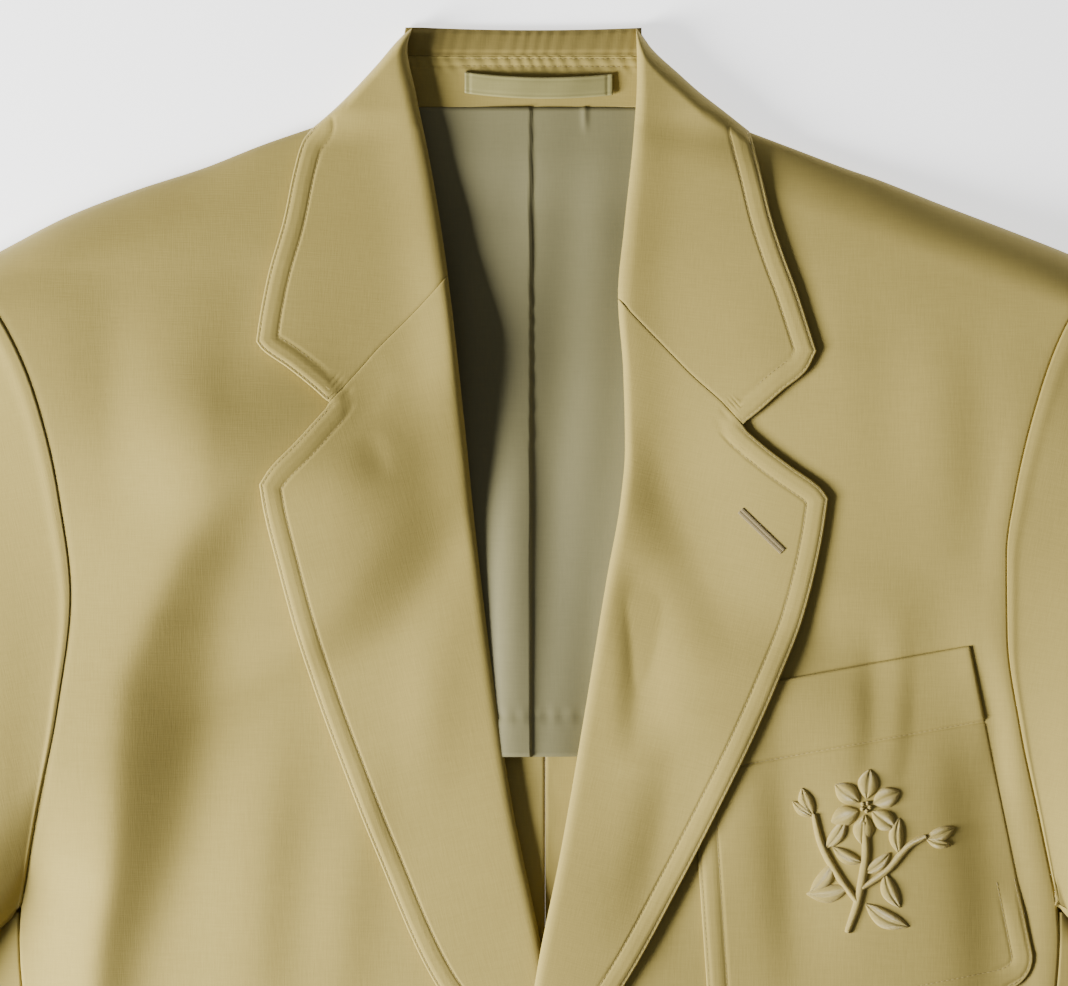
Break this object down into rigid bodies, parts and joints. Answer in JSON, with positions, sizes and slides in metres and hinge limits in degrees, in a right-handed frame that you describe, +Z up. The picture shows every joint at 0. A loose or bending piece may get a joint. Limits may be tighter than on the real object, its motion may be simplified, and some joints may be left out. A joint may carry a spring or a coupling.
{
  "type": "blazer",
  "caption": "Notch-lapel blazer laid flat and closed, with a half lining, a hanger loop and a patch chest pocket.",
  "frame": {"origin": "middle of the bounding box in plan, on the floor the garment lies on", "axes": "+Z up from the floor, +Y up the garment from hem to collar, +X across it to the viewer's right, which is the wearer's left"},
  "size_m": [0.872, 0.7618, 0.0376],
  "materials": {
    "jacket_cloth": "matt khaki woven cloth",
    "lining_satin": "soft sheen olive-grey satin",
    "button_horn": "satin brown, plain four-hole"
  },
  "bodies": {
    "root": {"back_left": "jacket_cloth", "side_left": "jacket_cloth", "front_left": "jacket_cloth", "lapel_left": "jacket_cloth", "sleeve_left": "jacket_cloth", "back_right": "jacket_cloth", "side_right": "jacket_cloth", "front_right": "jacket_cloth", "lapel_right": "jacket_cloth", "sleeve_right": "jacket_cloth", "collar": "jacket_cloth", "collar_stand": "jacket_cloth", "chest_pocket": "jacket_cloth", "lining": "lining_satin", "hanger_loop": "lining_satin", "button_upper": "button_horn", "button_lower": "button_horn"}
  },
  "joints": []
}
